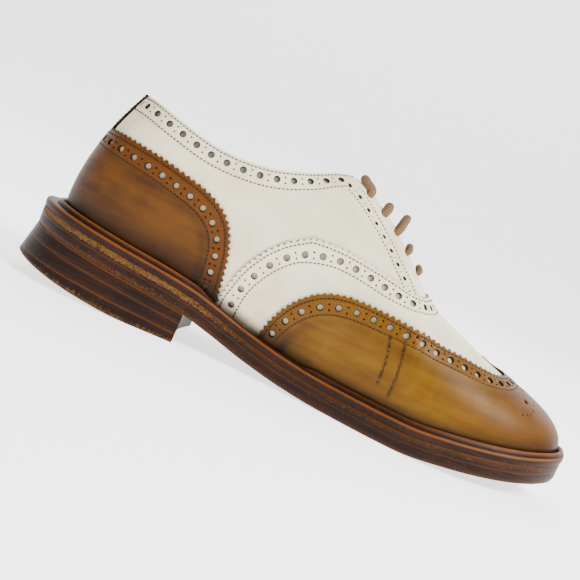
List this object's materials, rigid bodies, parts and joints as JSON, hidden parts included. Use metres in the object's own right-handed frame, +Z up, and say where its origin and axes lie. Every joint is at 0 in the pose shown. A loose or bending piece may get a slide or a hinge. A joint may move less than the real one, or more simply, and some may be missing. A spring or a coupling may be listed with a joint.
{
  "type": "spectator shoe",
  "caption": "Two-tone lace-up wing-tip brogue shoe with closed lacing, storm welt, leather sole and stacked heel, standing empty on its sole.",
  "frame": {"origin": "on the floor, in the middle of the flat of the heel", "axes": "+X from heel to toe, +Y to the outer side of the foot, +Z up"},
  "size_m": [0.2962, 0.105, 0.1107],
  "materials": {
    "cream_leather": "matte cream calf with a fine grain",
    "tan_leather": "burnished tan calf, semi-gloss, darker towards the welt",
    "sole_leather": "dark red-brown stained sole leather, waxed, worn at its edges",
    "welt_leather": "dark red-brown waxed welt with rubbed tan edges",
    "insole_leather": "natural vegetable-tanned leather, matte",
    "lace_cotton": "waxed round cotton, taupe brown"
  },
  "bodies": {
    "root": {"upper": "cream_leather", "vamp": "cream_leather", "wing_cap": "tan_leather", "heel_counter": "tan_leather", "tongue": "cream_leather", "insole": "insole_leather", "welt": "welt_leather", "midsole": "sole_leather", "outsole": "sole_leather", "heel_lift_upper": "sole_leather", "heel_lift_lower": "sole_leather", "heel_top_piece": "sole_leather", "lace_bar_1": "lace_cotton", "lace_bar_2": "lace_cotton", "lace_bar_3": "lace_cotton", "lace_bar_4": "lace_cotton", "lace_bar_5": "lace_cotton"}
  },
  "joints": []
}
